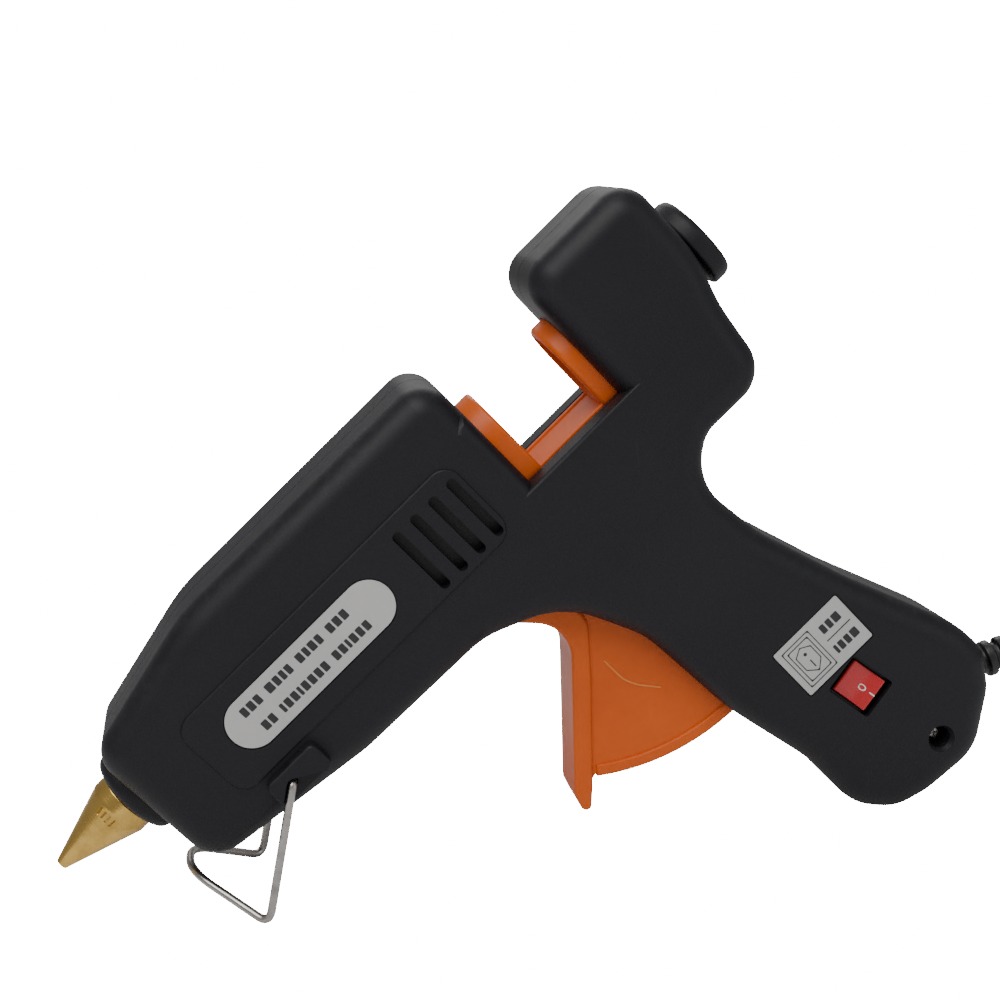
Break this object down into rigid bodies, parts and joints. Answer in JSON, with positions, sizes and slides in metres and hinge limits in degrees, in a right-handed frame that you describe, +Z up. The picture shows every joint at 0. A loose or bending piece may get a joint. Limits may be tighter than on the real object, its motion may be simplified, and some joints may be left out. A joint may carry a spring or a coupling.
{
  "type": "hot melt glue gun",
  "caption": "Pistol-grip hot-melt glue gun with brass nozzle, trigger stick feed, folding wire stand, rocker switch and mains cord in a hank.",
  "frame": {"origin": "bottom centre of the gun's box without its cord: on the table that the stand's feet and the butt rest on", "axes": "+X from the nozzle towards the butt and cord, +Y from the switch side to the other side, +Z up; the gun stands on its wire stand, nozzle down"},
  "size_m": [0.4536, 0.0544, 0.1534],
  "materials": {
    "housing_black": "fine matt grain, satin on the edges",
    "trim_black": "smooth satin",
    "orange_plastic": "satin moulded nylon",
    "brass": "turned, slightly tarnished",
    "cast_aluminium": "as cast",
    "steel": "drawn wire, satin",
    "silicone": "matt",
    "ceramic": "unglazed",
    "mica": "layered board",
    "rocker_red": "gloss",
    "label_foil": "silver foil, satin",
    "cord_rubber": "smooth, slightly glossy",
    "lead_brown": "silicone sleeving",
    "lead_blue": "silicone sleeving"
  },
  "bodies": {
    "housing": {"housing_left": "housing_black", "housing_right": "housing_black", "nose_ring": "trim_black", "inlet_collar": "trim_black", "switch_body": "trim_black", "cord_clamp": "trim_black", "cord_tie": "trim_black", "nozzle": "brass", "switch_terminal_1": "brass", "switch_terminal_2": "brass", "melt_chamber": "cast_aluminium", "trigger_pin": "steel", "heater_clamp": "steel", "sleeve_clip": "steel", "return_spring": "steel", "plug_pin_1": "steel", "plug_pin_2": "steel", "clamp_screw_1": "steel", "clamp_screw_2": "steel", "housing_screw_1": "steel", "housing_screw_2": "steel", "housing_screw_3": "steel", "housing_screw_4": "steel", "housing_screw_5": "steel", "housing_screw_6": "steel", "inlet_sleeve": "silicone", "heater_plate_1": "ceramic", "heater_plate_2": "ceramic", "terminal_block": "ceramic", "insulation_wrap": "mica", "chamber_saddle_front": "mica", "chamber_saddle_rear": "mica", "oval_label": "label_foil", "rating_label": "label_foil", "strain_relief": "cord_rubber", "cord_tail": "cord_rubber", "cord_lead": "cord_rubber", "cord_hank": "cord_rubber", "plug_lead": "cord_rubber", "plug_body": "cord_rubber", "heater_lead_1": "lead_brown", "heater_lead_2": "lead_blue"},
    "trigger": {"trigger": "orange_plastic"},
    "carriage": {"feed_carriage": "orange_plastic", "gripper_pin": "steel"},
    "gripper": {"stick_gripper": "steel"},
    "stand": {"stand_wire": "steel"},
    "rocker": {"switch_rocker": "rocker_red"}
  },
  "joints": [
    {"name": "trigger_swing", "type": "hinge", "parent": "housing", "child": "trigger", "pos_m": [-0.00212, 0, 0.07426], "axis": [0, -1, 0], "range_deg": [0, 30], "stiffness_Nm_per_rad": 0.12, "springref_deg": -17.19},
    {"name": "carriage_slide", "type": "slide", "parent": "housing", "child": "carriage", "axis": [-0.7853, 0, -0.6191], "range_m": [0, 0.008], "deforming": ["return_spring"]},
    {"name": "gripper_tilt", "type": "hinge", "parent": "carriage", "child": "gripper", "pos_m": [0.0045, 0, 0.12659], "axis": [0, 1, 0], "range_deg": [0, 6.2]},
    {"name": "stand_fold", "type": "hinge", "parent": "housing", "child": "stand", "pos_m": [-0.07321, 0, 0.03198], "axis": [0, -1, 0], "range_deg": [0, 112]},
    {"name": "switch_rock", "type": "hinge", "parent": "housing", "child": "rocker", "pos_m": [0.06046, -0.0127, 0.03267], "axis": [0.6659, 0, 0.746], "range_deg": [0, 16]}
  ],
  "couplings": [
    {"joint": "carriage_slide", "follows": "trigger_swing", "m_per_rad": 0.014632},
    {"joint": "gripper_tilt", "follows": "trigger_swing", "ratio": 0.2}
  ]
}
